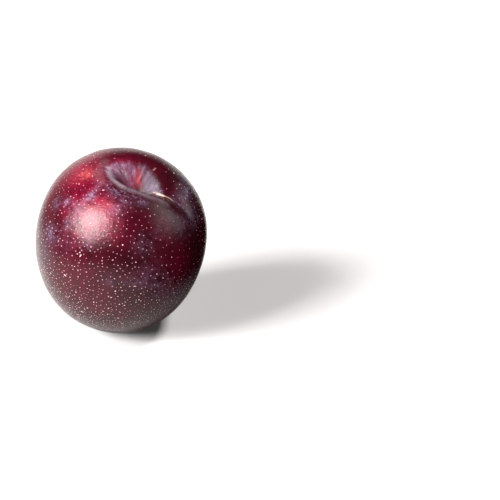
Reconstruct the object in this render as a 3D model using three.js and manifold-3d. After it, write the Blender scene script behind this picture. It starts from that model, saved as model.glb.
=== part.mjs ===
// A ripe dark plum, as picked, lying on its underside with the stem end tipped forward.
// Millimetres, +Z up. The origin is on the resting surface, under the middle of the fruit;
// the near side of the fruit faces -Y.
//
// The fruit is one solid. Its skin is a sphere of directions, each pushed out to the distance that
// the functions below give. They work in the fruit's own frame: +Z runs along the stem axis to the
// stem end, +X points to the side with the suture, and +Y and -Y to the far and the near cheek.

import * as THREE from 'three';
import { mergeVertices } from 'three/addons/utils/BufferGeometryUtils.js';
import Module from 'manifold-3d';

// Body
const HALF_TO_SUTURE = 30.3;      // centre to the suture side
const HALF_TO_CHEEK = 32.2;       // centre to each cheek
const TO_STEM_END = 32.6;         // centre to the stem end, before the cavity is sunk
const TO_BLOSSOM_END = 33.0;
const FULLNESS = 2.13;            // 2 is an ellipsoid, more is boxier
const SHOULDER_TAPER = 0.08;      // the stem end is this much wider than the middle
const SKEW_TO_SUTURE = -0.031;    // how far the stem end leans from the suture side
const MEAN_RADIUS = 32.3;         // turns an angle on the skin into a length

// Stem cavity: a dimple, oval along the suture, steep on the near cheek's side
const CAVITY_DEPTH = 8.8;
const CAVITY_POWER = 2.0;
const CAVITY_TO_SUTURE = 11.0;    // reach towards the suture
const CAVITY_FROM_SUTURE = 6.2;   // reach the other way
const CAVITY_TO_FAR_CHEEK = 6.6;
const CAVITY_TO_NEAR_CHEEK = 4.4;
const CAVITY_BLEND = 2.3;         // width over which one reach turns into the other

// Shoulders: both cheeks swell round the cavity
const SHOULDER_HEIGHT = 0.85;
const SHOULDER_DISTANCE = 15.5;   // from the stem axis, along the skin
const SHOULDER_WIDTH = 8.1;

// Lip: a smaller swelling of the near cheek, right beside the cavity
const LIP_HEIGHT = 0.65;
const LIP_DISTANCE = 12.2;
const LIP_WIDTH = 3.5;
const LIP_BEARING = THREE.MathUtils.degToRad(-55);
const LIP_POWER = 2;

// Suture: a wide shallow trough with a narrow crease in it, from the cavity down one side
const TROUGH_DEPTH = 1.9;
const TROUGH_WIDTH = 5.5;
const CREASE_DEPTH = 1.4;
const CREASE_WIDTH = 1.7;
const SUTURE_FADE = 18.7;         // distance from the stem axis over which the suture fades
const SUTURE_FADE_POWER = 2.4;
const SUTURE_REMAINDER = 0.1;     // share of its depth that runs on to the blossom end
const SUTURE_IN_CAVITY = 0.35;    // share of its depth that is left inside the cavity
const SUTURE_BEND_START = 11.3;   // distance from the stem axis where it starts to bend
const SUTURE_BEND = 9.5;          // how far it bends towards the near cheek, a radian further on
const SUTURE_BEND_POWER = 1.5;
const SUTURE_START = -1.4;        // it fades in over this stretch across the stem axis
const SUTURE_FULL = 3.3;

// Blossom end: a small dimple
const BLOSSOM_DIMPLE_DEPTH = 0.65;
const BLOSSOM_DIMPLE_WIDTH = 4.7;

// Attitude and resting spot
const LEAN = THREE.MathUtils.degToRad(20);           // stem axis from upright
const LEAN_BEARING = THREE.MathUtils.degToRad(-50);  // way that it leans, from +X
const SPIN = THREE.MathUtils.degToRad(40);           // turn about the stem axis
const FLAT_DEPTH = 0.4;                              // height of the cap that the flat spot takes off

// Facets
const COLUMNS = 66;
const ROWS = 46;
const POLE_CROWDING = 0.42;       // how much closer the rows lie at the two ends
const SUTURE_CROWDING = 0.4;      // how much closer the columns lie at the suture
const CUTTER_SIZE = 100;

const SKIN_COLOUR = '#4c1624';
const SKIN_ROUGHNESS = 0.35;

const bell = (distance, width, power = 2) => Math.exp(-(Math.abs(distance / width) ** power));
const blend = (from, to, position, width) => from + (to - from) * (0.5 + 0.5 * Math.tanh(position / width));

function bodyRadius(direction) {
  const toEnd = direction.z > 0 ? TO_STEM_END : TO_BLOSSOM_END;
  const widening = 1 + SHOULDER_TAPER * direction.z;
  const sum = Math.abs(direction.x / (HALF_TO_SUTURE * widening)) ** FULLNESS
    + Math.abs(direction.y / (HALF_TO_CHEEK * widening)) ** FULLNESS
    + Math.abs(direction.z / toEnd) ** FULLNESS;
  const skew = 1 + SKEW_TO_SUTURE * direction.x * direction.z;
  return sum ** (-1 / FULLNESS) * skew;
}

// Share of the cavity's depth at a point of the skin, given as a distance and bearing from the stem axis.
function cavityShare(distance, bearing) {
  const x = distance * Math.cos(bearing);
  const y = distance * Math.sin(bearing);
  const reachX = blend(CAVITY_FROM_SUTURE, CAVITY_TO_SUTURE, x, CAVITY_BLEND);
  const reachY = blend(CAVITY_TO_NEAR_CHEEK, CAVITY_TO_FAR_CHEEK, y, CAVITY_BLEND);
  return bell(Math.hypot(x / reachX, y / reachY), 1, CAVITY_POWER);
}

function sutureDepth(direction, distance) {
  const pastBendStart = Math.max(0, (distance - SUTURE_BEND_START) / MEAN_RADIUS);
  const bend = SUTURE_BEND * pastBendStart ** SUTURE_BEND_POWER;
  const across = Math.asin(direction.y) * MEAN_RADIUS + bend;
  const onset = THREE.MathUtils.smoothstep(direction.x * MEAN_RADIUS, SUTURE_START, SUTURE_FULL);
  const fade = SUTURE_REMAINDER + (1 - SUTURE_REMAINDER) * bell(distance, SUTURE_FADE, SUTURE_FADE_POWER);
  const section = CREASE_DEPTH * bell(across, CREASE_WIDTH) + TROUGH_DEPTH * bell(across, TROUGH_WIDTH);
  return section * fade * onset;
}

function shoulderRise(distance, bearing) {
  const facing = (0.5 + 0.5 * Math.cos(bearing - LIP_BEARING)) ** LIP_POWER;
  const lip = LIP_HEIGHT * bell(distance - LIP_DISTANCE, LIP_WIDTH) * facing;
  const shoulder = SHOULDER_HEIGHT * bell(distance - SHOULDER_DISTANCE, SHOULDER_WIDTH);
  return lip + shoulder * Math.sin(bearing) ** 2;
}

function skinRadius(direction) {
  const polar = Math.acos(THREE.MathUtils.clamp(direction.z, -1, 1));
  const distance = polar * MEAN_RADIUS;
  const fromBlossom = (Math.PI - polar) * MEAN_RADIUS;
  const bearing = Math.atan2(direction.y, direction.x);
  const cavity = cavityShare(distance, bearing);
  return bodyRadius(direction)
    - CAVITY_DEPTH * cavity
    - sutureDepth(direction, distance) * (1 - (1 - SUTURE_IN_CAVITY) * cavity)
    + shoulderRise(distance, bearing)
    - BLOSSOM_DIMPLE_DEPTH * bell(fromBlossom, BLOSSOM_DIMPLE_WIDTH);
}

// A unit sphere with its poles on the stem axis, its rows crowded at the poles and its columns at +X.
function directionSphere() {
  const sphere = new THREE.SphereGeometry(1, COLUMNS, ROWS);
  sphere.rotateX(Math.PI / 2);
  sphere.deleteAttribute('normal');
  sphere.deleteAttribute('uv');
  const closed = mergeVertices(sphere);
  const points = closed.attributes.position;
  const point = new THREE.Vector3();
  for (let i = 0; i < points.count; i += 1) {
    point.fromBufferAttribute(points, i).normalize();
    const polar = Math.acos(THREE.MathUtils.clamp(point.z, -1, 1));
    const bearing = Math.atan2(point.y, point.x);
    const crowdedPolar = polar - 0.5 * POLE_CROWDING * Math.sin(2 * polar);
    const crowdedBearing = bearing - SUTURE_CROWDING * Math.sin(bearing);
    point.setFromSphericalCoords(1, crowdedPolar, crowdedBearing);
    points.setXYZ(i, point.z, point.x, point.y);
  }
  return closed;
}

function fruitGeometry() {
  const fruit = directionSphere();
  const points = fruit.attributes.position;
  const point = new THREE.Vector3();
  for (let i = 0; i < points.count; i += 1) {
    point.fromBufferAttribute(points, i).normalize();
    point.multiplyScalar(skinRadius(point));
    points.setXYZ(i, point.x, point.y, point.z);
  }
  return fruit;
}

// Tips the fruit into the attitude that it rests in, with the cap to be cut off below the surface.
function layDown(geometry) {
  geometry.rotateZ(SPIN);
  geometry.rotateY(LEAN);
  geometry.rotateZ(LEAN_BEARING);
  geometry.computeBoundingBox();
  const { min, max } = geometry.boundingBox;
  geometry.translate(-(min.x + max.x) / 2, -(min.y + max.y) / 2, -min.z - FLAT_DEPTH);
  return geometry;
}

const wasm = await Module();
wasm.setup();

function toSolid(geometry) {
  return new wasm.Manifold(new wasm.Mesh({
    numProp: 3,
    vertProperties: new Float32Array(geometry.attributes.position.array),
    triVerts: new Uint32Array(geometry.index.array),
  }));
}

function toGeometry(solid) {
  const { vertProperties, triVerts } = solid.getMesh();
  const geometry = new THREE.BufferGeometry();
  geometry.setAttribute('position', new THREE.BufferAttribute(vertProperties, 3));
  geometry.setIndex(new THREE.BufferAttribute(triVerts, 1));
  return geometry;
}

// Everything below the resting surface.
function cutterGeometry() {
  const cutter = new THREE.BoxGeometry(CUTTER_SIZE, CUTTER_SIZE, CUTTER_SIZE);
  cutter.translate(0, 0, -CUTTER_SIZE / 2);
  cutter.deleteAttribute('normal');
  cutter.deleteAttribute('uv');
  return mergeVertices(cutter);
}

const restingFruit = toSolid(layDown(fruitGeometry())).subtract(toSolid(cutterGeometry()));
const plumGeometry = toGeometry(restingFruit);
plumGeometry.computeVertexNormals();

const skin = new THREE.MeshStandardMaterial({ color: SKIN_COLOUR, roughness: SKIN_ROUGHNESS, metalness: 0 });
const plum = new THREE.Mesh(plumGeometry, skin);
plum.name = 'plum';

const fruit = new THREE.Group();
fruit.add(plum);

export default fruit;
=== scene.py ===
"""A ripe dark plum, as picked: its waxy skin, bloom, lenticels and scars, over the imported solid.

Blender's own units are metres, +Z up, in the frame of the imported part. Lengths on the fruit are written
in millimetres, and MM turns them into metres. The fruit's own frame has +Z along the stem axis to the
stem end, +X to the side with the suture, and +Y and -Y to the far and the near cheek. A place on the
skin is given by its distance from the stem axis, along the skin, and its bearing about that axis from
+X. On a map round the stem axis the same place is x towards the suture and y towards the far cheek.
"""

import math

import bpy
import numpy as np
from mathutils import Matrix, Vector, noise


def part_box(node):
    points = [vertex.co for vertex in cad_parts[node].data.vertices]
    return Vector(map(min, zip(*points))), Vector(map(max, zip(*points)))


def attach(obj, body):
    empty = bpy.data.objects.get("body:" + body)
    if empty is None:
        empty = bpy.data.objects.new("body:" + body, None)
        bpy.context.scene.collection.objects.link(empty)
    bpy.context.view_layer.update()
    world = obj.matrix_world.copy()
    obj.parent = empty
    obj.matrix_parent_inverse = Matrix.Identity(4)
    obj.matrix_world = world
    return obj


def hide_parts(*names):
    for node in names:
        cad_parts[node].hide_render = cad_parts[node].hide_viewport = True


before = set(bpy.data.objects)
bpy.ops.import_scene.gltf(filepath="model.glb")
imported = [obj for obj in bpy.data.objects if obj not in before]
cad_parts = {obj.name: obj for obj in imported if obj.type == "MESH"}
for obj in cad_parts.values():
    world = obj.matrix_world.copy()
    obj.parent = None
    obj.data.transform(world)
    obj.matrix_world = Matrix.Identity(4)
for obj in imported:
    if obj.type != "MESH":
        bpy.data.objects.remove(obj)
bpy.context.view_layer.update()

MM = 0.001

# The form of the fruit, as in the solid. Body:
HALF_TO_SUTURE = 30.3             # centre to the suture side
HALF_TO_CHEEK = 32.2              # centre to each cheek
TO_STEM_END = 32.6                # centre to the stem end, before the cavity is sunk
TO_BLOSSOM_END = 33.0
FULLNESS = 2.13                   # 2 is an ellipsoid, more is boxier
SHOULDER_TAPER = 0.08             # the stem end is this much wider than the middle
SKEW_TO_SUTURE = -0.031           # how far the stem end leans from the suture side
MEAN_RADIUS = 32.3                # turns an angle on the skin into a length
HALF_ROUND = math.pi * MEAN_RADIUS  # from the stem end to the blossom end, along the skin

# Stem cavity: a dimple, oval along the suture, steep on the near cheek's side
CAVITY_DEPTH = 8.8
CAVITY_TO_SUTURE = 11.0           # reach towards the suture
CAVITY_FROM_SUTURE = 6.2          # reach the other way
CAVITY_TO_FAR_CHEEK = 6.6
CAVITY_TO_NEAR_CHEEK = 4.4
CAVITY_BLEND = 2.3                # width over which one reach turns into the other

# Shoulders: both cheeks swell round the cavity
SHOULDER_HEIGHT = 0.85
SHOULDER_DISTANCE = 15.5
SHOULDER_WIDTH = 8.1

# Lip: a smaller swelling of the near cheek, right beside the cavity
LIP_HEIGHT = 0.65
LIP_DISTANCE = 12.2
LIP_WIDTH = 3.5
LIP_BEARING = math.radians(-55)
LIP_POWER = 2

# Suture: a wide shallow trough with a narrow crease in it, from the cavity down one side
TROUGH_DEPTH = 1.9
TROUGH_WIDTH = 5.5
CREASE_DEPTH = 1.4
CREASE_WIDTH = 1.7
SUTURE_FADE = 18.7                # distance from the stem axis over which the suture fades
SUTURE_FADE_POWER = 2.4
SUTURE_REMAINDER = 0.1            # share of its depth that runs on to the blossom end
SUTURE_IN_CAVITY = 0.35           # share of its depth that is left inside the cavity
SUTURE_BEND_START = 11.3          # distance from the stem axis where it starts to bend
SUTURE_BEND = 9.5                 # how far it bends towards the near cheek, a radian further on
SUTURE_BEND_POWER = 1.5
SUTURE_START = -1.4               # it fades in over this stretch across the stem axis
SUTURE_FULL = 3.3

# Blossom end: a small dimple
BLOSSOM_DIMPLE_DEPTH = 0.65
BLOSSOM_DIMPLE_WIDTH = 4.7

# Attitude
LEAN = math.radians(20)           # stem axis from upright
LEAN_BEARING = math.radians(-50)  # way that it leans, from +X
SPIN = math.radians(40)           # turn about the stem axis

# Facets of the skin
ROWS = 268
COLUMNS = 360
POLE_CROWDING = 0.36              # how much closer the rows lie at the two ends
SUTURE_CROWDING = 0.3             # how much closer the columns lie at the suture

# Small relief that the solid leaves out: waves, folds round the cavity, and the two scars
OCTAVE_FADE = 0.9                 # of the relief's noise: higher makes its finer octaves weaker
OCTAVE_STEP = 2.1                 # how much finer each octave is than the one before
WAVE_HEIGHT = 0.09
WAVE_LENGTH = 11.0
WAVE_OCTAVES = 3
FOLD_HEIGHT = 0.16
FOLD_DISTANCE = 7.5
FOLD_WIDTH = 4.5
FOLDS_ROUND = 2.6                 # cells of noise to a radian about the stem axis
FOLD_LENGTH = 14.0                # away from the stem
FOLD_OCTAVES = 4
SCAR_RADIUS = 1.7
SCAR_DEPTH = 0.7
SCAR_RIM = 0.25
SCAR_RIM_AT = 1.25                # in scar radii
SCAR_RIM_WIDTH = 0.4              # in scar radii
SCAR_STEEPNESS = 4
STYLE_SCAR_RADIUS = 0.8
STYLE_SCAR_DEPTH = 0.3


def bell(distance, width, power=2.0):
    return np.exp(-np.abs(distance / width) ** power)


def blend(start, end, position, width):
    return start + (end - start) * (0.5 + 0.5 * np.tanh(position / width))


def smoothstep(value, low, high):
    share = np.clip((value - low) / (high - low), 0, 1)
    return share * share * (3 - 2 * share)


def facing(bearing, middle, power):
    """1 at the middle bearing, falling to 0 on the other side of the stem axis."""
    return (0.5 + 0.5 * np.cos(bearing - middle)) ** power


# ---- form -----------------------------------------------------------------------------------------


def polar_place(direction):
    """Distance from the stem axis, along the skin, and bearing of unit directions."""
    distance = np.arccos(np.clip(direction[:, 2], -1, 1)) * MEAN_RADIUS
    return distance, np.arctan2(direction[:, 1], direction[:, 0])


def direction_of(distance, bearing):
    """The unit direction to a place on the skin, the other way round."""
    polar = distance / MEAN_RADIUS
    return np.stack(
        [np.sin(polar) * np.cos(bearing), np.sin(polar) * np.sin(bearing), np.cos(polar)], axis=-1
    )


def body_radius(direction):
    """The plain body, before anything is sunk into it or swells from it."""
    x, y, z = direction.T
    to_end = np.where(z > 0, TO_STEM_END, TO_BLOSSOM_END)
    widening = 1 + SHOULDER_TAPER * z
    total = (
        np.abs(x / (HALF_TO_SUTURE * widening)) ** FULLNESS
        + np.abs(y / (HALF_TO_CHEEK * widening)) ** FULLNESS
        + np.abs(z / to_end) ** FULLNESS
    )
    return total ** (-1 / FULLNESS) * (1 + SKEW_TO_SUTURE * x * z)


def cavity_share(direction):
    """How much of the cavity's full depth it has here."""
    distance, bearing = polar_place(direction)
    x, y = distance * np.cos(bearing), distance * np.sin(bearing)
    reach_x = blend(CAVITY_FROM_SUTURE, CAVITY_TO_SUTURE, x, CAVITY_BLEND)
    reach_y = blend(CAVITY_TO_NEAR_CHEEK, CAVITY_TO_FAR_CHEEK, y, CAVITY_BLEND)
    return bell(np.hypot(x / reach_x, y / reach_y), 1)


def across_suture(direction):
    """Distance along the skin from the middle of the suture."""
    distance, _ = polar_place(direction)
    past_bend = np.maximum(0, (distance - SUTURE_BEND_START) / MEAN_RADIUS)
    across = np.arcsin(np.clip(direction[:, 1], -1, 1)) * MEAN_RADIUS
    return across + SUTURE_BEND * past_bend**SUTURE_BEND_POWER


def suture_share(direction):
    """How much of the suture's full depth it has here along its length."""
    distance, _ = polar_place(direction)
    onset = smoothstep(direction[:, 0] * MEAN_RADIUS, SUTURE_START, SUTURE_FULL)
    fade = bell(distance, SUTURE_FADE, SUTURE_FADE_POWER)
    return (SUTURE_REMAINDER + (1 - SUTURE_REMAINDER) * fade) * onset


def shoulder_rise(direction):
    """How far the lip and the shoulders swell here."""
    distance, bearing = polar_place(direction)
    lip = LIP_HEIGHT * bell(distance - LIP_DISTANCE, LIP_WIDTH) * facing(bearing, LIP_BEARING, LIP_POWER)
    shoulder = SHOULDER_HEIGHT * bell(distance - SHOULDER_DISTANCE, SHOULDER_WIDTH)
    return lip + shoulder * np.sin(bearing) ** 2


def form_radius(direction):
    """The skin's distance from the middle of the fruit, as the solid has it."""
    across = across_suture(direction)
    section = CREASE_DEPTH * bell(across, CREASE_WIDTH) + TROUGH_DEPTH * bell(across, TROUGH_WIDTH)
    suture = section * suture_share(direction)
    cavity = cavity_share(direction)
    distance, _ = polar_place(direction)
    dimple = BLOSSOM_DIMPLE_DEPTH * bell(HALF_ROUND - distance, BLOSSOM_DIMPLE_WIDTH)
    return (
        body_radius(direction)
        - CAVITY_DEPTH * cavity
        - suture * (1 - (1 - SUTURE_IN_CAVITY) * cavity)
        + shoulder_rise(direction)
        - dimple
    )


def noise_at(places, octaves):
    """Fractal noise at each place, by its octaves."""
    heights = [noise.fractal(Vector(place), OCTAVE_FADE, OCTAVE_STEP, octaves) for place in places]
    return np.array(heights)


def relief(direction):
    """Waves, folds round the cavity and the two scars, in millimetres outwards."""
    distance, bearing = polar_place(direction)
    waves = WAVE_HEIGHT * noise_at(direction * MEAN_RADIUS / WAVE_LENGTH, WAVE_OCTAVES)
    round_axis = np.stack(
        [np.cos(bearing) * FOLDS_ROUND, np.sin(bearing) * FOLDS_ROUND, distance / FOLD_LENGTH], axis=-1
    )
    round_cavity = bell(distance - FOLD_DISTANCE, FOLD_WIDTH)
    folds = FOLD_HEIGHT * noise_at(round_axis, FOLD_OCTAVES) * round_cavity
    scar = SCAR_RIM * bell(distance - SCAR_RADIUS * SCAR_RIM_AT, SCAR_RADIUS * SCAR_RIM_WIDTH)
    scar = scar - SCAR_DEPTH * bell(distance, SCAR_RADIUS, SCAR_STEEPNESS)
    style_scar = -STYLE_SCAR_DEPTH * bell(HALF_ROUND - distance, STYLE_SCAR_RADIUS, SCAR_STEEPNESS)
    return waves + folds + scar + style_scar


def rotation(axis, angle):
    return np.array(Matrix.Rotation(angle, 3, axis))


TURN = rotation("Z", LEAN_BEARING) @ rotation("Y", LEAN) @ rotation("Z", SPIN)


def directions(rows, columns):
    """Unit directions from pole to pole, row by row, crowded at the poles and at the suture."""
    polar = np.linspace(0, math.pi, rows + 1)[1:-1]
    polar = polar - 0.5 * POLE_CROWDING * np.sin(2 * polar)
    bearing = np.linspace(-math.pi, math.pi, columns, endpoint=False)
    bearing = bearing - SUTURE_CROWDING * np.sin(bearing)
    polar, bearing = np.meshgrid(polar, bearing, indexing="ij")
    rings = direction_of(polar.ravel() * MEAN_RADIUS, bearing.ravel())
    return np.concatenate([[[0.0, 0.0, 1.0]], rings, [[0.0, 0.0, -1.0]]])


# The middle of the fruit lies where the form fills the box of the node that it replaces
skin_directions = directions(ROWS, COLUMNS)
turned_form = skin_directions * form_radius(skin_directions)[:, None] @ TURN.T * MM
node_low, node_high = (np.array(corner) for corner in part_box("plum"))
FRUIT_CENTRE = (node_low + node_high - turned_form.min(axis=0) - turned_form.max(axis=0)) / 2
FRUIT_CENTRE[2] = node_high[2] - turned_form[:, 2].max()


def to_frame(points):
    """Points of the fruit's own frame, in millimetres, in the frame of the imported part."""
    return points @ TURN.T * MM + FRUIT_CENTRE


def skin_points(direction, rise=0.0):
    """Points of the finished skin, or that far above it, flat where the fruit rests."""
    points = to_frame(direction * (form_radius(direction) + relief(direction) + rise)[:, None])
    points[:, 2] = np.maximum(points[:, 2], node_low[2])
    return points


# ---- materials ------------------------------------------------------------------------------------


class Shading:
    """Builds the nodes of a new material or world by short calls, which return their result's socket."""

    def __init__(self, owner):
        owner.use_nodes = True
        self.owner = owner
        self.nodes = owner.node_tree.nodes
        self.links = owner.node_tree.links

    def feed(self, socket, value):
        if isinstance(value, bpy.types.NodeSocket):
            self.links.new(value, socket)
        else:
            socket.default_value = value

    def attribute(self, name, output="Fac"):
        node = self.nodes.new("ShaderNodeAttribute")
        node.attribute_name = name
        return node.outputs[output]

    def axes(self, coordinates):
        """X, Y and Z of the owner's own coordinates of that kind."""
        split = self.nodes.new("ShaderNodeSeparateXYZ")
        self.links.new(self.nodes.new("ShaderNodeTexCoord").outputs[coordinates], split.inputs[0])
        return [split.outputs[axis] for axis in "XYZ"]

    def noise(self, places, size, detail=3.0, roughness=0.5, distortion=0.0):
        node = self.nodes.new("ShaderNodeTexNoise")
        self.feed(node.inputs["Vector"], places)
        self.feed(node.inputs["Scale"], 1 / size)
        self.feed(node.inputs["Detail"], detail)
        self.feed(node.inputs["Roughness"], roughness)
        self.feed(node.inputs["Distortion"], distortion)
        return node.outputs["Fac"]

    def math(self, operation, first, second, clamp=False):
        node = self.nodes.new("ShaderNodeMath")
        node.operation = operation
        node.use_clamp = clamp
        self.feed(node.inputs[0], first)
        self.feed(node.inputs[1], second)
        return node.outputs[0]

    def plus(self, first, second, clamp=False):
        return self.math("ADD", first, second, clamp)

    def times(self, first, second, clamp=False):
        return self.math("MULTIPLY", first, second, clamp)

    def step(self, value, low, high, to_low=0.0, to_high=1.0):
        node = self.nodes.new("ShaderNodeMapRange")
        node.interpolation_type = "SMOOTHSTEP"
        self.feed(node.inputs["Value"], value)
        self.feed(node.inputs["From Min"], low)
        self.feed(node.inputs["From Max"], high)
        self.feed(node.inputs["To Min"], to_low)
        self.feed(node.inputs["To Max"], to_high)
        return node.outputs["Result"]

    def vary(self, texture, least, most):
        """Spreads the values that a noise texture mostly has over a range."""
        return self.step(texture, NOISE_LOW, NOISE_HIGH, least, most)

    def mix(self, share, first, second):
        node = self.nodes.new("ShaderNodeMix")
        node.data_type = "RGBA"
        self.feed(node.inputs["Factor"], share)
        self.feed(node.inputs["A"], (*first, 1.0) if isinstance(first, tuple) else first)
        self.feed(node.inputs["B"], (*second, 1.0) if isinstance(second, tuple) else second)
        return node.outputs["Result"]

    def bump(self, height, strength, distance):
        node = self.nodes.new("ShaderNodeBump")
        self.feed(node.inputs["Height"], height)
        self.feed(node.inputs["Strength"], strength)
        self.feed(node.inputs["Distance"], distance)
        return node.outputs["Normal"]

    def finish(self, shader="Principled BSDF", **inputs):
        for name, value in inputs.items():
            self.feed(self.nodes[shader].inputs[name.replace("_", " ")], value)
        return self.owner


NOISE_LOW = 0.3
NOISE_HIGH = 0.7

# Colours, linear
DEEP_RED = (0.013, 0.0012, 0.0026)
CRIMSON = (0.19, 0.0042, 0.025)
BLUSH = (0.34, 0.052, 0.057)
LAVENDER = (0.265, 0.20, 0.33)
PALE_BLOOM = (0.35, 0.24, 0.27)
# Pale ash-grey: bloom in the curl and fringe, and a painted reflection along the lip's crest
ASH_AND_REFLECTION = (0.31, 0.22, 0.25)
# The colour of a painted highlight: the key light's glint in the crease
PAINTED_HIGHLIGHT = (0.80, 0.56, 0.47)
SCAR_BROWN = (0.15, 0.07, 0.045)
DOT_PINK = (0.95, 0.56, 0.61)
DOT_TAN = (0.76, 0.56, 0.49)
# The dark red of faint dots, and of dots darkened as painted shade beside the suture
DOT_RED = (0.26, 0.045, 0.035)

# The skin's noise, by the size of its cells, and its gloss and bumps
CLOUD_SIZE = 7.0
MOTTLE_SIZE = 1.9
FINE_SIZE = 0.6
SKIN_ROUGHNESS = (0.10, 0.19)     # least and most, where the skin is bare
BLOOM_ROUGHNESS = 0.5             # added by full bloom
HOLLOW_ROUGHNESS = 0.30           # added in the stem cavity
MOST_ROUGHNESS = 0.62
FINE_BUMP = 1.8
COARSE_BUMP = 0.55
BUMP_STRENGTH = 0.7
BUMP_HEIGHT = 0.09
DOT_ROUGHNESS = 0.26
WAX_IOR = 1.375

# What the noise does to each mask: the least and the most that it multiplies the mask by. CLOUD_RED is
# added instead. Where there are four, the first two say between which values of the noise it changes.
CLOUD_RED = (0.0, 0.10)
RED_MOTTLE = (0.5, 1.5)
RED_GRAIN = (0.8, 1.2)
BLUSH_MOTTLE = (0.36, 0.64, 0.25, 1.3)
BLOOM_MOTTLE = (0.12, 1.95)
BLOOM_GRAIN = (0.5, 1.5)
COLLAR_STREAKS = (0.35, 1.65)
COLLAR_MOTTLE = (0.5, 1.5)
WORN_SCUFFS = (0.44, 0.56, 1.0, 0.0)
ASH_AND_REFLECTION_STREAKS = (0.6, 1.4)

COLLAR_EDGE = (0.10, 1.0)         # the ragged collar's shape between which it goes from bare to full
BLOOM_PALES = (0.3, 0.9)          # the bloom between which it goes from lavender to pale


def skin_material():
    look = Shading(bpy.data.materials.new("plum_skin"))
    place = look.attribute("fruit_mm", "Vector")
    clouds = look.noise(place, CLOUD_SIZE, detail=4.0, roughness=0.55)
    mottle = look.noise(place, MOTTLE_SIZE, detail=5.0, roughness=0.65, distortion=0.5)
    fine = look.noise(place, FINE_SIZE, detail=3.0, roughness=0.6)
    streaks = look.noise(look.attribute("radial", "Vector"), 1.0, detail=4.0, roughness=0.65)
    ringwise = look.attribute("ringwise", "Vector")
    scuffs = look.noise(ringwise, 1.0, detail=4.0, roughness=0.6, distortion=0.6)

    # Red and blush
    red = look.times(look.attribute("red"), look.vary(mottle, *RED_MOTTLE))
    red = look.times(red, look.vary(fine, *RED_GRAIN))
    red = look.plus(red, look.vary(clouds, *CLOUD_RED))
    colour = look.mix(look.math("MINIMUM", red, 1.0), DEEP_RED, CRIMSON)
    blush = look.times(look.attribute("blush"), look.step(mottle, *BLUSH_MOTTLE), clamp=True)
    colour = look.mix(blush, colour, BLUSH)

    # Bloom, in patches and in a ragged collar in the cavity, scuffed off in places
    patches = look.times(look.attribute("bloom"), look.vary(mottle, *BLOOM_MOTTLE))
    ragged = look.times(look.attribute("collar"), look.vary(streaks, *COLLAR_STREAKS))
    collar = look.times(look.step(ragged, *COLLAR_EDGE), look.attribute("collar_strength"))
    collar = look.times(collar, look.vary(mottle, *COLLAR_MOTTLE))
    worn = look.times(look.attribute("worn"), look.step(scuffs, *WORN_SCUFFS))
    bloom = look.times(look.plus(patches, collar, clamp=True), look.math("SUBTRACT", 1.0, worn))
    bloom = look.times(bloom, look.vary(fine, *BLOOM_GRAIN), clamp=True)
    bloom_colour = look.mix(look.step(bloom, *BLOOM_PALES), LAVENDER, PALE_BLOOM)
    colour = look.mix(bloom, colour, bloom_colour)

    # Strokes, among them a painted reflection along the lip and a painted highlight in the crease, and
    # scars
    # Pale strokes: bloom, and a painted reflection of the surroundings along the crest of the lip
    ash_and_reflection = look.times(look.attribute("ash_and_reflection"), look.vary(streaks, *ASH_AND_REFLECTION_STREAKS), clamp=True)
    colour = look.mix(ash_and_reflection, colour, ASH_AND_REFLECTION)
    # The painted highlight: the key light's glint on the far wall of the crease, painted into the colour
    colour = look.mix(look.attribute("painted_highlight"), colour, PAINTED_HIGHLIGHT)
    colour = look.mix(look.attribute("scar"), colour, SCAR_BROWN)

    hollow = look.times(look.attribute("hollow"), HOLLOW_ROUGHNESS)
    waxy = look.plus(look.times(bloom, BLOOM_ROUGHNESS), hollow)
    roughness = look.math("MINIMUM", look.plus(waxy, look.vary(fine, *SKIN_ROUGHNESS)), MOST_ROUGHNESS)
    height = look.plus(look.times(fine, FINE_BUMP), look.times(look.plus(mottle, bloom), COARSE_BUMP))
    normal = look.bump(height, BUMP_STRENGTH, BUMP_HEIGHT * MM)
    return look.finish(Base_Color=colour, Roughness=roughness, IOR=WAX_IOR, Normal=normal)


def lenticel_material():
    look = Shading(bpy.data.materials.new("plum_lenticels"))
    colour = look.mix(look.attribute("tan"), DOT_PINK, DOT_TAN)
    # Faint dots: some at random, and darker beside the suture as painted shade
    colour = look.mix(look.attribute("faint_and_shaded"), colour, DOT_RED)
    return look.finish(Base_Color=colour, Roughness=DOT_ROUGHNESS, IOR=WAX_IOR)


# ---- masks ----------------------------------------------------------------------------------------

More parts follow.
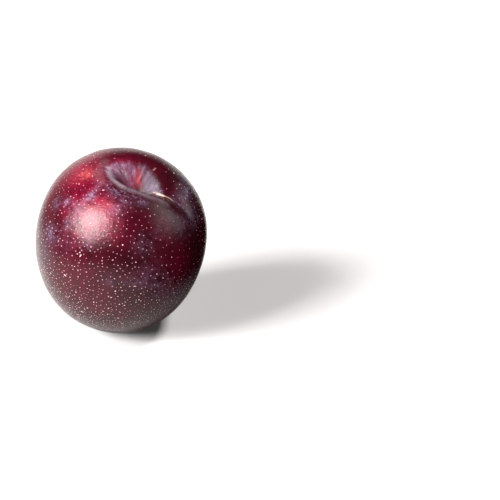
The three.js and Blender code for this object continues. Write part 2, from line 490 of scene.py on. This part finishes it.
# Soft patches by name: x and y on the map round the stem axis, the reach away from the stem, the reach
# round it, and the strength
RED_PATCHES = {
    "sunny shoulder": (-18.0, -3.0, 6.0, 7.5, 0.66),
    "sunny shoulder, further": (-26.0, 2.0, 6.0, 8.0, 0.26),
    "above the shoulder": (-17.0, 8.0, 6.0, 6.0, 0.24),
    "beside the lip": (-10.5, -7.5, 4.0, 4.5, 0.36),
    "left cheek": (-16.0, -18.0, 6.0, 6.0, 0.42),
    "near cheek": (-6.5, -18.8, 5.0, 6.0, 0.74),
    "near cheek, lower": (-9.0, -25.0, 5.0, 5.0, 0.50),
    "left, lower down": (-17.0, -36.5, 6.0, 6.0, 0.10),
    "low on the left": (-12.0, -46.0, 12.0, 12.0, 0.09),
    "left of the light, below": (-14.0, -28.0, 5.0, 4.0, 0.12),
    "near cheek, deep": (-0.5, -24.8, 3.4, 3.4, 0.22),
    "left edge": (-31.0, -8.0, 8.0, 12.0, 0.15),
    "low in front": (2.0, -55.0, 9.0, 14.0, 0.09),
    "by the light, above": (-5.9, -15.6, 2.4, 3.0, 0.20),
    "inside the cavity": (-3.0, 2.4, 5.0, 4.5, 1.0),
    "ring, left": (-7.5, 3.5, 3.5, 4.0, 0.35),
    "right, by the suture": (14.0, -15.0, 5.0, 5.0, 0.12),
    "low on the right": (29.0, -22.0, 10.0, 8.0, 0.16),
    "lower on the right": (34.0, -29.0, 8.0, 8.0, 0.08),
    "far cheek": (0.0, 42.0, 14.0, 14.0, 0.45),
    "back": (-52.0, 8.0, 14.0, 16.0, 0.35),
}
RED_EVERYWHERE = 0.04
BLUSH_PATCHES = {
    "middle": (-16.8, -3.4, 2.4, 2.8, 0.95),
    "inner": (-13.6, -3.6, 2.0, 2.2, 0.25),
    "outer": (-20.5, -4.5, 3.0, 3.0, 0.22),
    "fleck": (4.7, 8.6, 0.5, 0.3, 0.8),
    "by the light, above": (-5.9, -16.2, 1.6, 2.4, 0.25),
    "streak in the cavity": (0.7, 4.9, 1.8, 0.8, 0.45),
    "far cheek": (4.0, 36.0, 5.0, 6.0, 0.5),
}
BLOOM_PATCHES = {
    "left, by the lip": (-11.9, -14.2, 1.9, 1.5, 0.36),
    "left, up to the lip": (-10.0, -9.8, 2.2, 1.2, 0.14),
    "left, by the light": (-15.5, -18.5, 2.6, 2.2, 0.13),
    "left, middle": (-20.4, -15.6, 1.6, 1.8, 0.22),
    "left, further": (-25.8, -14.5, 2.2, 2.2, 0.15),
    "left, under that": (-18.4, -23.5, 2.0, 1.6, 0.14),
    "left, lower": (-18.5, -30.5, 3.4, 3.6, 0.04),
    "left, blue": (-27.5, -26.0, 3.0, 3.6, 0.17),
    "left, edge": (-31.0, -33.5, 3.0, 3.5, 0.06),
    "under the light": (-9.5, -30.0, 2.0, 2.5, 0.08),
    "under the lip, left": (-7.0, -9.5, 1.8, 3.0, 0.14),
    "under the lip": (-1.5, -12.0, 2.6, 4.2, 0.22),
    "under the lip, right": (4.5, -11.4, 2.0, 2.6, 0.15),
    "near cheek, high": (-2.0, -17.6, 2.4, 2.4, 0.13),
    "near cheek, right": (11.4, -24.8, 3.4, 3.4, 0.055),
    "right, high": (15.0, -17.0, 3.2, 2.4, 0.05),
    "right, by the suture": (16.5, -9.5, 2.0, 2.5, 0.05),
    "suture, near end": (18.5, 3.5, 2.4, 2.4, 0.14),
    "suture, nearer": (17.4, -1.0, 2.0, 2.0, 0.13),
    "right shoulder": (24.0, -2.0, 4.0, 6.5, 0.11),
    # Partly bloom, partly a painted reflection of the haze that the black screen takes away
    "suture, shoulder, with painted reflection": (18.5, 8.4, 2.2, 2.6, 0.32),
    "suture, far shoulder": (15.5, 13.1, 2.2, 2.4, 0.14),
    "past the suture": (28.0, 0.0, 1.6, 5.0, 0.06),
    "middle, low": (3.6, -41.2, 1.8, 2.2, 0.05),
    "middle, low, right": (14.5, -37.7, 2.4, 3.6, 0.05),
    "hollow": (-4.4, 2.8, 3.0, 2.8, 0.34),
    "beyond the crease": (7.0, 3.6, 1.6, 0.9, 0.18),
    "in the crease": (6.6, 2.4, 1.4, 1.0, 0.12),
    "right of the middle, low": (18.5, -32.5, 4.5, 5.0, 0.055),
    "right, past the suture": (21.5, -11.5, 2.6, 3.0, 0.06),
    "right, low": (41.0, -27.0, 5.0, 8.0, 0.14),
    "right, low, inner": (27.0, -33.0, 4.0, 5.0, 0.07),
    "far cheek, high": (-8.0, 27.0, 5.0, 8.0, 0.14),
    "far cheek, low": (24.0, 44.0, 9.0, 9.0, 0.12),
    "back, high": (-36.0, 16.0, 6.0, 9.0, 0.10),
    "back, low": (-62.0, -12.0, 10.0, 10.0, 0.10),
}
# The collar of bloom inside the cavity: bearing in degrees, distance of its middle, half-width, strength
COLLAR = (
    (-180, 9.0, 2.2, 0.50), (-165, 8.9, 1.9, 0.50), (-150, 8.6, 1.5, 0.45), (-135, 7.6, 1.4, 0.35),
    (-110, 7.4, 1.3, 0.25), (-80, 7.4, 1.2, 0.15), (-45, 8.0, 1.2, 0.10), (-10, 9.5, 1.2, 0.10),
    (8, 10.6, 1.4, 0.16), (20, 8.6, 1.8, 0.24), (32, 7.4, 2.0, 0.22), (47, 6.7, 2.0, 0.20),
    (66, 6.7, 1.9, 0.23), (78, 7.3, 2.1, 0.22), (90, 7.0, 1.9, 0.14), (105, 6.6, 1.9, 0.27),
    (123, 6.6, 2.1, 0.30), (140, 7.3, 2.2, 0.31), (156, 8.1, 2.3, 0.36), (170, 8.9, 2.3, 0.42),
    (180, 9.0, 2.2, 0.50),
)
# Strokes by name: half-width, strength, and the places on that map that each runs through
ASH_AND_REFLECTION_STROKES = {
    "curl at the end of the lip": (
        0.85, 0.44, [(-10.2, 0.6), (-9.8, -0.8), (-8.5, -3.3), (-6.6, -5.1), (-4.7, -6.4), (-2.8, -7.4)],
    ),
    # A painted reflection: the grey sheen that the lip's crest shows at a grazing angle, painted as
    # colour
    "painted reflection on the crest of the lip": (
        1.25, 0.30, [(-6.3, -5.8), (-3.1, -8.0), (-0.4, -8.3), (2.0, -8.1), (4.7, -8.2), (7.3, -8.1),
                     (10.2, -7.4), (13.6, -6.5)],
    ),
    "fringe outside the curl": (2.0, 0.12, [(-12.4, 3.5), (-12.6, -2.5), (-10.6, -7.4)]),
    "fleck beyond the cavity": (0.22, 0.50, [(4.8, 8.4), (5.1, 9.1)]),
}
# Painted highlight: the glint of the key light on the far wall of the crease, painted as colour
PAINTED_HIGHLIGHT_STROKES = {
    "in the crease": (0.20, 0.30, [(8.6, 1.7), (10.4, 1.2), (12.7, 0.5), (14.9, 0.1), (16.2, -0.4)]),
    "in the crease, brightest": (0.34, 0.55, [(10.2, 1.0), (12.6, 0.3)]),
}
RED_STREAK = (1.0, 0.7, [(-0.9, 6.9), (-0.3, 6.3), (0.9, 4.8), (2.4, 3.4)])
BARE_STREAK = (1.0, 0.75, [(-2.1, 8.6), (-1.2, 7.3), (-0.3, 6.3), (0.9, 4.8), (2.4, 3.4)])
STROKE_STEEPNESS = 2.5

# Streaks that run out from the stem, and scuffs that run round it, most of them under the lip
STREAKS_ROUND = 17.0              # cells of noise to a radian about the stem axis
STREAK_LENGTH = 4.5               # away from the stem
SCUFFS_ROUND = 5.0
SCUFF_WIDTH = 0.9
WORN_BEARING = math.radians(-105)
WORN_POWER = 1.5
WORN_DISTANCE = 11.5
WORN_WIDTH = 3.4

# The stem cavity, where the skin shines less
HOLLOW_INNER = 6.5
HOLLOW_OUTER = 11.5

TINY = 1e-9                       # keeps the middle of a patch from dividing by nothing

# The brown of the two scars
SCAR_STAIN = 1.3                  # in radii of the stem scar
SCAR_STAIN_STEEPNESS = 6


def patch_mask(direction, patches, base=0.0):
    """The sum of soft patches, over what is the same everywhere."""
    total = np.full(len(direction), base)
    for x, y, away, round_stem, strength in patches.values():
        bearing = math.atan2(y, x)
        middle = direction_of(np.array(math.hypot(x, y)), np.array(bearing))
        sideways = np.array([-math.sin(bearing), math.cos(bearing), 0.0])
        outwards = np.cross(sideways, middle)
        along, aside = direction @ outwards, direction @ sideways
        far = np.arccos(np.clip(direction @ middle, -1, 1)) * MEAN_RADIUS
        flat = np.hypot(along, aside) + TINY
        share_away = far * along / flat / away
        share_round = far * aside / flat / round_stem
        total += strength * np.exp(-(share_away * share_away + share_round * share_round))
    return np.clip(total, 0, 1)


def strokes_mask(direction, strokes):
    """Soft strokes, each along its line of places on the map round the stem axis."""
    distance, bearing = polar_place(direction)
    place = np.stack([distance * np.cos(bearing), distance * np.sin(bearing)], axis=-1)
    total = np.zeros(len(direction))
    for half_width, strength, line in strokes:
        nearest = np.full(len(direction), np.inf)
        for start, end in zip(np.array(line), np.array(line[1:])):
            run = end - start
            along = np.clip((place - start) @ run / (run @ run), 0, 1)
            gap = np.linalg.norm(place - start - along[:, None] * run, axis=1)
            nearest = np.minimum(nearest, gap)
        total += strength * bell(nearest, half_width, STROKE_STEEPNESS)
    return np.clip(total, 0, 1)


def collar_mask(direction):
    """The collar's shape, and its strength."""
    distance, bearing = polar_place(direction)
    at, middle, half_width, strength = np.array(COLLAR).T
    round_stem = np.degrees(bearing)
    from_middle = distance - np.interp(round_stem, at, middle)
    shape = bell(from_middle, np.interp(round_stem, at, half_width))
    return shape, np.interp(round_stem, at, strength)


def worn_mask(direction):
    """Where the bloom may be scuffed off."""
    distance, bearing = polar_place(direction)
    return bell(distance - WORN_DISTANCE, WORN_WIDTH) * facing(bearing, WORN_BEARING, WORN_POWER)


def scar_mask(direction):
    distance, _ = polar_place(direction)
    stem_scar = bell(distance, SCAR_RADIUS * SCAR_STAIN, SCAR_STAIN_STEEPNESS)
    return np.clip(stem_scar + bell(HALF_ROUND - distance, STYLE_SCAR_RADIUS, SCAR_STEEPNESS), 0, 1)


def write_attribute(mesh, name, values):
    """Gives each point of a mesh a number or a vector, for its material to read."""
    is_vector = values.ndim == 2
    made = mesh.attributes.new(name, "FLOAT_VECTOR" if is_vector else "FLOAT", "POINT")
    made.data.foreach_set("vector" if is_vector else "value", values.astype(np.float32).ravel())


# ---- pieces ---------------------------------------------------------------------------------------


def grid_faces(rows, columns):
    """Quads between the rings of directions(), and fans at its two poles."""
    faces = []
    last = (rows - 1) * columns + 1
    for j in range(columns):
        k = (j + 1) % columns
        faces.append((0, 1 + j, 1 + k))
        faces.append((last, last - columns + k, last - columns + j))
    for i in range(rows - 2):
        first, second = 1 + i * columns, 1 + (i + 1) * columns
        for j in range(columns):
            k = (j + 1) % columns
            faces.append((first + j, second + j, second + k, first + k))
    return faces


def add_mesh(name, points, faces, material):
    mesh = bpy.data.meshes.new(name)
    mesh.from_pydata(points.tolist(), [], faces)
    mesh.polygons.foreach_set("use_smooth", [True] * len(mesh.polygons))
    mesh.materials.append(material)
    mesh.update()
    piece = bpy.data.objects.new(name, mesh)
    bpy.context.scene.collection.objects.link(piece)
    return piece


def add_skin():
    places = skin_directions
    skin = add_mesh("plum_skin", skin_points(places), grid_faces(ROWS, COLUMNS), skin_material())
    distance, bearing = polar_place(places)
    around = np.stack([np.cos(bearing), np.sin(bearing)], axis=-1)
    collar, collar_strength = collar_mask(places)
    red = patch_mask(places, RED_PATCHES, RED_EVERYWHERE)
    attributes = {
        "fruit_mm": places * MEAN_RADIUS,
        "radial": np.column_stack([around * STREAKS_ROUND, distance / STREAK_LENGTH]),
        "ringwise": np.column_stack([around * SCUFFS_ROUND, distance / SCUFF_WIDTH]),
        "red": np.maximum(red, strokes_mask(places, [RED_STREAK])),
        "blush": patch_mask(places, BLUSH_PATCHES),
        "bloom": patch_mask(places, BLOOM_PATCHES),
        "collar": collar * (1 - strokes_mask(places, [BARE_STREAK])),
        "ash_and_reflection": strokes_mask(places, ASH_AND_REFLECTION_STROKES.values()),
        "painted_highlight": strokes_mask(places, PAINTED_HIGHLIGHT_STROKES.values()),
        "collar_strength": collar_strength,
        "worn": worn_mask(places),
        "hollow": 1 - smoothstep(distance, HOLLOW_INNER, HOLLOW_OUTER),
        "scar": scar_mask(places),
    }
    for name, values in attributes.items():
        write_attribute(skin.data, name, values)
    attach(skin, "root")
    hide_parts("plum")
    return skin


# Lenticels: small pale dots, sparse by the stem and crowded towards the blossom end
LENTICEL_SEED = 7
LENTICEL_TRIES = 30000
LENTICEL_SIDES = 8
LENTICEL_RISE = 0.007             # of its middle above the skin
LENTICEL_RIM = 0.3                # of that rise, how far its rim lies below the skin
LENTICEL_ROOT = 0.05              # depth of its hidden point
LENTICEL_CLEAR = 0.3              # height under which there are none

# Their spacing and radius by distance from the stem axis, and how much each varies
SPACING_AT = (0.0, 10.0, 13.0, 18.0, 24.0, 34.0, 48.0, 62.0, 102.0)
SPACING = (40.0, 14.0, 4.2, 2.6, 2.15, 2.1, 2.0, 1.20, 0.96)
SPACING_FACTORS = (0.45, 1.25)
RADIUS = (0.12, 0.13, 0.135, 0.13, 0.13, 0.135, 0.135, 0.132, 0.13)
RADIUS_SPREAD = 0.28
LONG_SHARE = 0.12                 # this many are drawn out
LONG_FACTORS = (1.5, 2.8)         # by this much

# They lie closer on the sunny side, away from the suture
CLOSER = 0.15
CLOSER_BEARING = math.radians(-140)
CLOSER_FADE = 50.0                # distance from the stem axis over which that fades

# They are larger on the sunny half of the near cheek
LARGER = 0.12
LARGER_BEARING = math.radians(-125)
LARGER_COSINES = (0.75, 0.97)     # of the angle from that bearing: where it starts, and where it is full

# They are redder and sparser on the near cheek beside the suture, and on one more patch; beside the
# suture, where the key light falls least, their darker red is partly painted shade
RUDDY_SHADE = 0.60
SPARSER = 0.60
RUDDY_MIDDLE = -9.0               # distance from the middle of the suture
RUDDY_WIDTH = 13.0
RUDDY_ONSET = (0.1, 0.4)          # cosine of the angle from +X
RUDDY_FADE = (32.0, 52.0)         # distance from the stem axis
FAINT_PATCHES = {"beyond the sunny shoulder": (-33.0, 0.0, 11.0, 18.0, 0.7)}
FAINT_FADE = (38.0, 58.0)
FAINT_MEAN = 0.10
FAINT_SPREAD = 0.18
FAINT_MOST = 0.9

# They turn from pink to tan towards the blossom end
TAN_ONSET = (28.0, 60.0)
TAN_SHARES = (0.3, 1.0)


def ruddy_shaded_side(direction):
    """How far the dots here are of the redder, sparser kind, whose darker red is partly painted shade."""
    distance, _ = polar_place(direction)
    beside = bell(across_suture(direction) - RUDDY_MIDDLE, RUDDY_WIDTH)
    return beside * smoothstep(direction[:, 0], *RUDDY_ONSET) * (1 - smoothstep(distance, *RUDDY_FADE))


def lenticel_places(draw):
    """Random unit directions, each kept only where none lies too near."""
    tries = draw.normal(size=(LENTICEL_TRIES, 3))
    tries /= np.linalg.norm(tries, axis=1)[:, None]
    distance, bearing = polar_place(tries)
    spacing = np.interp(distance, SPACING_AT, SPACING) * draw.uniform(*SPACING_FACTORS, LENTICEL_TRIES)
    spacing *= 1 - CLOSER * np.cos(bearing - CLOSER_BEARING) * np.exp(-distance / CLOSER_FADE)
    spacing *= 1 + SPARSER * ruddy_shaded_side(tries) + SPARSER * patch_mask(tries, FAINT_PATCHES)
    chosen = np.zeros((LENTICEL_TRIES, 3))
    count = 0
    for place, gap in zip(tries, spacing):
        if count == 0 or (chosen[:count] @ place).max() < math.cos(gap / MEAN_RADIUS):
            chosen[count] = place
            count += 1
    return chosen[:count]


def lenticel_points(draw, centres):
    """For each dot its raised middle, its hidden root and its rim, some of them drawn out."""
    count = len(centres)
    distance, bearing = polar_place(centres)
    radius = np.interp(distance, SPACING_AT, RADIUS) * np.exp(draw.normal(0, RADIUS_SPREAD, count))
    radius *= 1 + LARGER * smoothstep(np.cos(bearing - LARGER_BEARING), *LARGER_COSINES)
    length = np.where(draw.random(count) < LONG_SHARE, draw.uniform(*LONG_FACTORS, count), 1.0)
    along = np.cross(centres, draw.normal(size=(count, 3)))
    along /= np.linalg.norm(along, axis=1)[:, None]
    aside = np.cross(centres, along)

    rings = []
    for k in range(LENTICEL_SIDES):
        angle = 2 * math.pi * k / LENTICEL_SIDES
        lengthways = (math.cos(angle) * radius * length)[:, None] * along
        sideways = (math.sin(angle) * radius)[:, None] * aside
        edge = centres + (lengthways + sideways) / MEAN_RADIUS
        rings.append(edge / np.linalg.norm(edge, axis=1)[:, None])
    rims = skin_points(np.stack(rings, axis=1).reshape(-1, 3), -LENTICEL_RIM * LENTICEL_RISE)
    middles = skin_points(centres, LENTICEL_RISE)[:, None]
    roots = skin_points(centres, -LENTICEL_ROOT)[:, None]
    return np.concatenate([middles, roots, rims.reshape(count, LENTICEL_SIDES, 3)], axis=1)


def lenticel_faces(count):
    """A fan from each middle to its rim, and another from its root."""
    faces = []
    for i in range(count):
        middle = i * (LENTICEL_SIDES + 2)
        root, rim = middle + 1, middle + 2
        for k in range(LENTICEL_SIDES):
            here, there = rim + k, rim + (k + 1) % LENTICEL_SIDES
            faces.append((middle, here, there))
            faces.append((root, there, here))
    return faces


def add_lenticels():
    draw = np.random.default_rng(LENTICEL_SEED)
    centres = lenticel_places(draw)
    points = lenticel_points(draw, centres)
    clear = points[:, :, 2].min(axis=1) > node_low[2] + LENTICEL_CLEAR * MM
    points = points[clear]
    faces = lenticel_faces(len(points))
    dots = add_mesh("plum_lenticels", points.reshape(-1, 3), faces, lenticel_material())

    distance, _ = polar_place(centres)
    tan = smoothstep(distance, *TAN_ONSET) * draw.uniform(*TAN_SHARES, len(centres))
    # Redder, darker dots beside the suture: partly painted shade
    redder = RUDDY_SHADE * ruddy_shaded_side(centres) + patch_mask(centres, FAINT_PATCHES)
    redder *= 1 - smoothstep(distance, *FAINT_FADE)
    faint_and_shaded = np.clip(draw.normal(FAINT_MEAN, FAINT_SPREAD, len(centres)) + redder, 0, FAINT_MOST)
    for name, values in (("tan", tan), ("faint_and_shaded", faint_and_shaded)):
        write_attribute(dots.data, name, np.repeat(values[clear], LENTICEL_SIDES + 2))
    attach(dots, "root")
    return dots


# ---- stage, in metres -----------------------------------------------------------------------------

# The view: where the middle of the fruit lies in a picture of 500 x 500 pixels, and the scale there
CAMERA_ELEVATION = math.radians(26)
CAMERA_DISTANCE = 617.5 * MM
PIXEL = 0.361 * MM
PICTURE = 500
FRUIT_AT_X = 120.6
FRUIT_AT_Y = 243.0
SENSOR = 36.0


def add_camera():
    back = Vector((0, -math.cos(CAMERA_ELEVATION), math.sin(CAMERA_ELEVATION)))
    right = Vector((1, 0, 0))
    up = back.cross(right)
    target = (
        Vector(FRUIT_CENTRE)
        - right * (FRUIT_AT_X - PICTURE / 2) * PIXEL
        + up * (FRUIT_AT_Y - PICTURE / 2) * PIXEL
    )
    data = bpy.data.cameras.new("camera")
    data.sensor_width = SENSOR
    data.lens = SENSOR * CAMERA_DISTANCE / (PICTURE * PIXEL)
    camera = bpy.data.objects.new("camera", data)
    turn = Matrix((right, up, back)).transposed().to_4x4()
    camera.matrix_world = Matrix.Translation(target + back * CAMERA_DISTANCE) @ turn
    bpy.context.scene.collection.objects.link(camera)
    bpy.context.scene.camera = camera


FLOOR_WHITE = (0.525, 0.510, 0.505)
FLOOR_SIDES = (-0.17, 1.6)
FLOOR_ENDS = (-0.21, 1.6)
FLOOR_GAP = 0.05 * MM             # keeps it clear of the flat spot under the fruit
FLOOR_ROUGHNESS = 0.9

# The reflected floor is painted black to the right, but not further back: a painted shadow beside the
# fruit, which the skin reflects and which darkens the light bounced onto it
REFLECTED_WHITE = (0.44, 0.415, 0.41)
STAGE_BLACK = (0.02, 0.008, 0.010)
PAINTED_SHADOW_SIDE = (0.0, 0.050)
LIGHT_BACK = (0.035, 0.065)


def add_floor(name, seen_by_camera):
    """One of two floors in the same place: the camera sees one, and reflections and bounces the other."""
    look = Shading(bpy.data.materials.new(name))
    colour = (*FLOOR_WHITE, 1)
    if not seen_by_camera:
        across, ahead, _ = look.axes("Object")
        # A painted shadow: black to the right, seen only by reflections and bounces
        dark = look.times(look.step(across, *PAINTED_SHADOW_SIDE), look.step(ahead, *LIGHT_BACK, 1.0, 0.0))
        colour = look.mix(dark, REFLECTED_WHITE, STAGE_BLACK)
    height = node_low[2] - FLOOR_GAP
    points = np.array([(x, y, height) for y in FLOOR_ENDS for x in FLOOR_SIDES])
    material = look.finish(Base_Color=colour, Roughness=FLOOR_ROUGHNESS, Specular_IOR_Level=0.0)
    floor = add_mesh(name, points, [(0, 1, 3, 2)], material)
    floor.visible_camera = seen_by_camera
    floor.visible_glossy = not seen_by_camera
    floor.visible_diffuse = not seen_by_camera
    floor.visible_shadow = False
    return floor


# A black screen stands on the right, from the floor up to these points
FLAG_TOP = (
    (0.060, -0.050, 0.022), (0.052, -0.026, 0.042), (0.047, 0.000, 0.056),
    (0.048, 0.026, 0.080), (0.042, 0.048, 0.060),
)


def add_flag():
    """A black screen that only bounces and reflections see, so that the right of the skin stays dark."""
    look = Shading(bpy.data.materials.new("flag"))
    row = len(FLAG_TOP)
    points = np.array([*FLAG_TOP, *((x, y, 0.0) for x, y, _ in FLAG_TOP)])
    faces = [(i, i + 1, i + 1 + row, i + row) for i in range(row - 1)]
    material = look.finish(Base_Color=(*STAGE_BLACK, 1), Roughness=1.0, Specular_IOR_Level=0.0)
    flag = add_mesh("flag", points, faces, material)
    flag.visible_camera = False
    flag.visible_shadow = False


# What reflections see of the world, along each axis of the way that they look: from and to on the
# axis, then the brightness at each
MIRRORED_LOW = (0.24, 0.54, 1.0, 0.0)
MIRRORED_BEHIND = (-0.2, 0.35, 0.10, 1.0)
MIRRORED_LEFT = (-0.60, -0.28, 0.30, 1.1)
MIRRORED_RIGHT = (0.08, 0.35, 1.0, 0.4)
MIRRORED_LEAST = 0.015
WARM_WHITE = (1.12, 0.94, 0.93)   # its colour

# What lights matt surfaces: most from the front left, some from behind but not on the right, none from
# below
FILL_AXIS = (-0.6, -0.8)
FILL_SIDES = (-0.6, 0.6, 0.10, 0.75)
FILL_BEHIND = (0.1, 0.8)
FILL_BEHIND_LEFT = (-0.1, 0.4, 1.0, 0.0)
FILL_BACK = 0.5
FILL_ABOVE = (0.0, 0.5)


def add_surroundings():
    """The world: the camera sees white, reflections see it uneven, and matt surfaces are lit softly."""
    world = bpy.data.worlds.new("surroundings")
    bpy.context.scene.world = world
    look = Shading(world)
    ray = look.nodes.new("ShaderNodeLightPath").outputs
    x, y, z = look.axes("Generated")

    mirrored = look.times(
        look.times(look.step(z, *MIRRORED_LOW), look.step(y, *MIRRORED_BEHIND)),
        look.times(look.step(x, *MIRRORED_LEFT), look.step(x, *MIRRORED_RIGHT)),
    )
    mirrored = look.math("MAXIMUM", mirrored, MIRRORED_LEAST)

    side = look.plus(look.times(x, FILL_AXIS[0]), look.times(y, FILL_AXIS[1]))
    back = look.times(look.step(y, *FILL_BEHIND), look.step(x, *FILL_BEHIND_LEFT))
    fill = look.plus(look.step(side, *FILL_SIDES), look.times(back, FILL_BACK))
    fill = look.times(fill, look.step(z, *FILL_ABOVE))

    matt = ray["Is Diffuse Ray"]
    strength = look.plus(look.times(mirrored, look.math("SUBTRACT", 1.0, matt)), look.times(matt, fill))
    strength = look.math("MAXIMUM", strength, ray["Is Camera Ray"])
    colour = look.mix(ray["Is Glossy Ray"], (1.0, 1.0, 1.0), WARM_WHITE)
    look.finish("Background", Strength=strength, Color=colour)


# Soft lights by name: the way that each lies from the fruit, its distance, width and height, and its
# radiance beside a white of 1. The key and its inner rings are one light, brighter towards its middle.
TO_KEY = (-0.533, -0.543, 0.649)
TO_CARD = (0.85, 0.08, 0.50)
KEY_LIGHTS = {
    "key": (TO_KEY, 3.90, 3.7, 2.9, 6.5),
    "key_inner": (TO_KEY, 3.85, 3.2, 2.5, 9.8),
    "key_middle": (TO_KEY, 3.80, 2.4, 1.8, 10.0),
}
CARD_LIGHTS = {
    "card": (TO_CARD, 0.65, 0.44, 0.37, 1.2),
    "card_middle": (TO_CARD, 0.64, 0.28, 0.22, 1.3),
}
REFLECTED_FLOOR_LIGHTS = {"overhead": ((0.15, 0.10, 0.98), 1.3, 1.1, 1.1, 4.4)}
FLOOR_LIGHTS = {
    "floor_key": ((-0.765, -0.44, 0.47), 4.0, 2.0, 2.0, 56.0),
    "floor_fill": ((0.54, 0.04, 0.83), 2.0, 0.42, 0.42, 88.0),
}
SHAPE_AREA = {"RECTANGLE": 1.0, "ELLIPSE": math.pi / 4}


def add_lights(lights, lit, shape="RECTANGLE"):
    """Soft lights that look at the fruit and light only the pieces given."""
    for name, (direction, distance, width, height, radiance) in lights.items():
        towards = Vector(direction).normalized()
        data = bpy.data.lights.new(name, "AREA")
        data.shape = shape
        data.size = width
        data.size_y = height
        data.energy = radiance * math.pi * width * height * SHAPE_AREA[shape]
        light = bpy.data.objects.new(name, data)
        light.location = Vector(FRUIT_CENTRE) + towards * distance
        light.rotation_euler = towards.to_track_quat("Z", "Y").to_euler()
        bpy.context.scene.collection.objects.link(light)
        receivers = bpy.data.collections.new(name + "_lights")
        for piece in lit:
            receivers.objects.link(piece)
        light.light_linking.receiver_collection = receivers


add_camera()
fruit = [add_skin(), add_lenticels()]
floor = add_floor("floor", True)
reflected_floor = add_floor("reflected_floor", False)
add_flag()
add_surroundings()
add_lights(KEY_LIGHTS, [*fruit, reflected_floor], "ELLIPSE")
add_lights(CARD_LIGHTS, fruit)
add_lights(REFLECTED_FLOOR_LIGHTS, [reflected_floor])
add_lights(FLOOR_LIGHTS, [floor])
bpy.context.scene.view_settings.view_transform = "Standard"
